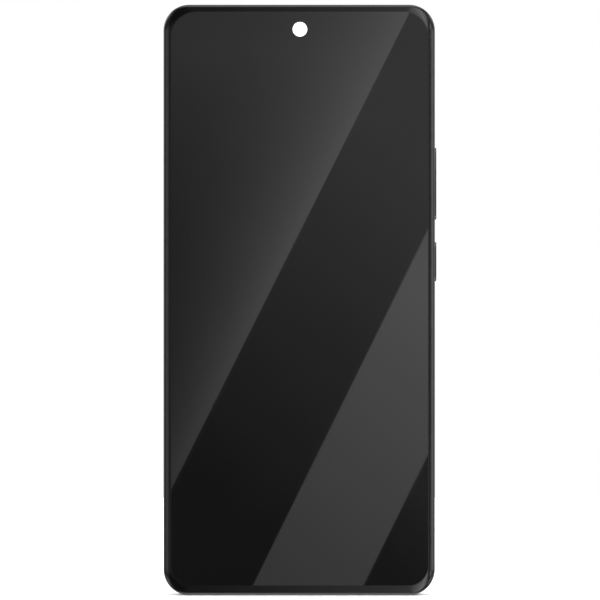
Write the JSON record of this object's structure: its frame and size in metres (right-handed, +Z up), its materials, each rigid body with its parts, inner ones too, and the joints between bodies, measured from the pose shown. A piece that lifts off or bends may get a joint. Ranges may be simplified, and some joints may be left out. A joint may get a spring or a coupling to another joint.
{
  "type": "smartphone",
  "caption": "Slim smartphone with a flat screen, round camera window, side keys, pull-out SIM tray and a raised rear camera island.",
  "frame": {"origin": "middle of the bottom edge, midway between the cover glass and the camera island's outer face", "axes": "+Z up the phone to its top edge, -Y out of the screen, +X to the side with the keys"},
  "size_m": [0.0751, 0.0103, 0.1625],
  "materials": {
    "cover_glass": "polished",
    "display_black": "glossy, switched off",
    "clear_adhesive": "clear",
    "copper_foil": "satin foil",
    "flex": "polyimide film",
    "black_adhesive": "matt foam",
    "white_film": "matt film",
    "sensor_black": "glossy",
    "frame": "satin coated",
    "magnesium": "cast, matt",
    "key": "satin coated",
    "steel": "brushed",
    "tray": "satin coated",
    "red_rubber": "matt",
    "board_green": "solder mask",
    "chip_black": "matt",
    "shield": "tinned",
    "camera_black": "matt",
    "lens_glass": "coated",
    "gold": "plated",
    "battery_foil": "matt wrap",
    "white_adhesive": "matt",
    "cable": "satin",
    "black_plastic": "fine textured",
    "diaphragm": "satin",
    "copper": "bare",
    "rear_cover": "satin",
    "island": "satin coated",
    "ring": "turned",
    "tungsten": "sintered",
    "flash_lens": "clear over yellow phosphor"
  },
  "bodies": {
    "phone": {"cover_glass": "cover_glass", "display_adhesive": "clear_adhesive", "display_panel": "display_black", "display_foil": "copper_foil", "display_flex": "flex", "display_seal": "black_adhesive", "front_camera_film": "white_film", "fingerprint_sensor": "sensor_black", "light_sensor": "sensor_black", "side_frame": "frame", "mid_plate": "magnesium", "key_flex": "flex", "key_bracket": "steel", "sim_reader": "shield", "eject_pivot": "steel", "main_board": "board_green", "board_chips": "chip_black", "front_shield": "shield", "rear_shield": "shield", "front_camera": "camera_black", "front_camera_lens": "lens_glass", "earpiece_speaker": "black_plastic", "earpiece_mesh": "steel", "top_microphone": "gold", "battery": "battery_foil", "battery_adhesive": "white_adhesive", "main_flex": "flex", "antenna_cable": "cable", "sub_board": "board_green", "usb_shell": "steel", "usb_tongue": "black_plastic", "bottom_microphone": "gold", "loudspeaker": "black_plastic", "speaker_mesh": "steel", "vibration_motor": "steel", "upper_bracket": "black_plastic", "lower_bracket": "black_plastic", "nfc_coil": "copper", "bracket_screws": "steel", "rear_cover": "rear_cover", "rear_cover_adhesive": "black_adhesive", "camera_island": "island", "lens_rings": "ring", "lens_windows": "lens_glass", "main_camera": "camera_black", "wide_camera": "camera_black", "macro_camera": "camera_black", "flash": "flash_lens"},
    "volume_key": {"volume_key": "key"},
    "power_key": {"power_key": "key"},
    "sim_tray": {"sim_tray": "tray", "sim_tray_seal": "red_rubber"},
    "eject_rod": {"eject_rod": "steel"},
    "eject_lever": {"eject_lever": "steel"},
    "lens_barrel": {"main_camera_barrel": "camera_black", "main_camera_lens": "lens_glass"},
    "vibration_mass": {"vibration_mass": "tungsten"},
    "loudspeaker_diaphragm": {"loudspeaker_diaphragm": "diaphragm"},
    "earpiece_diaphragm": {"earpiece_diaphragm": "diaphragm"}
  },
  "joints": [
    {"name": "volume_rock", "type": "hinge", "parent": "phone", "child": "volume_key", "pos_m": [0.03635, -0.001, 0.1133], "axis": [0, -1, 0], "range_deg": [-1.3, 1.3], "stiffness_Nm_per_rad": 0.05},
    {"name": "power_press", "type": "slide", "parent": "phone", "child": "power_key", "axis": [-1, 0, 0], "range_m": [0, 0.00025], "stiffness_N_per_m": 600},
    {"name": "sim_tray_slide", "type": "slide", "parent": "phone", "child": "sim_tray", "axis": [-1, 0, 0], "range_m": [0, 0.0175]},
    {"name": "eject_rod_push", "type": "slide", "parent": "phone", "child": "eject_rod", "axis": [1, 0, 0], "range_m": [0, 0.00055]},
    {"name": "eject_lever_turn", "type": "hinge", "parent": "phone", "child": "eject_lever", "pos_m": [-0.0182, -0.001, 0.1276], "axis": [0, -1, 0], "range_deg": [0, 9.8]},
    {"name": "lens_focus", "type": "slide", "parent": "phone", "child": "lens_barrel", "axis": [0, 1, 0], "range_m": [0, 0.0003], "stiffness_N_per_m": 60},
    {"name": "vibration_slide", "type": "slide", "parent": "phone", "child": "vibration_mass", "axis": [1, 0, 0], "range_m": [-0.0008, 0.0008], "stiffness_N_per_m": 600},
    {"name": "loudspeaker_stroke", "type": "slide", "parent": "phone", "child": "loudspeaker_diaphragm", "axis": [0, -1, 0], "range_m": [-0.00025, 0.00025], "stiffness_N_per_m": 400},
    {"name": "earpiece_stroke", "type": "slide", "parent": "phone", "child": "earpiece_diaphragm", "axis": [0, -1, 0], "range_m": [-0.00015, 0.00015], "stiffness_N_per_m": 400}
  ],
  "couplings": [
    {"joint": "eject_lever_turn", "follows": "eject_rod_push", "rad_per_m": 310}
  ]
}
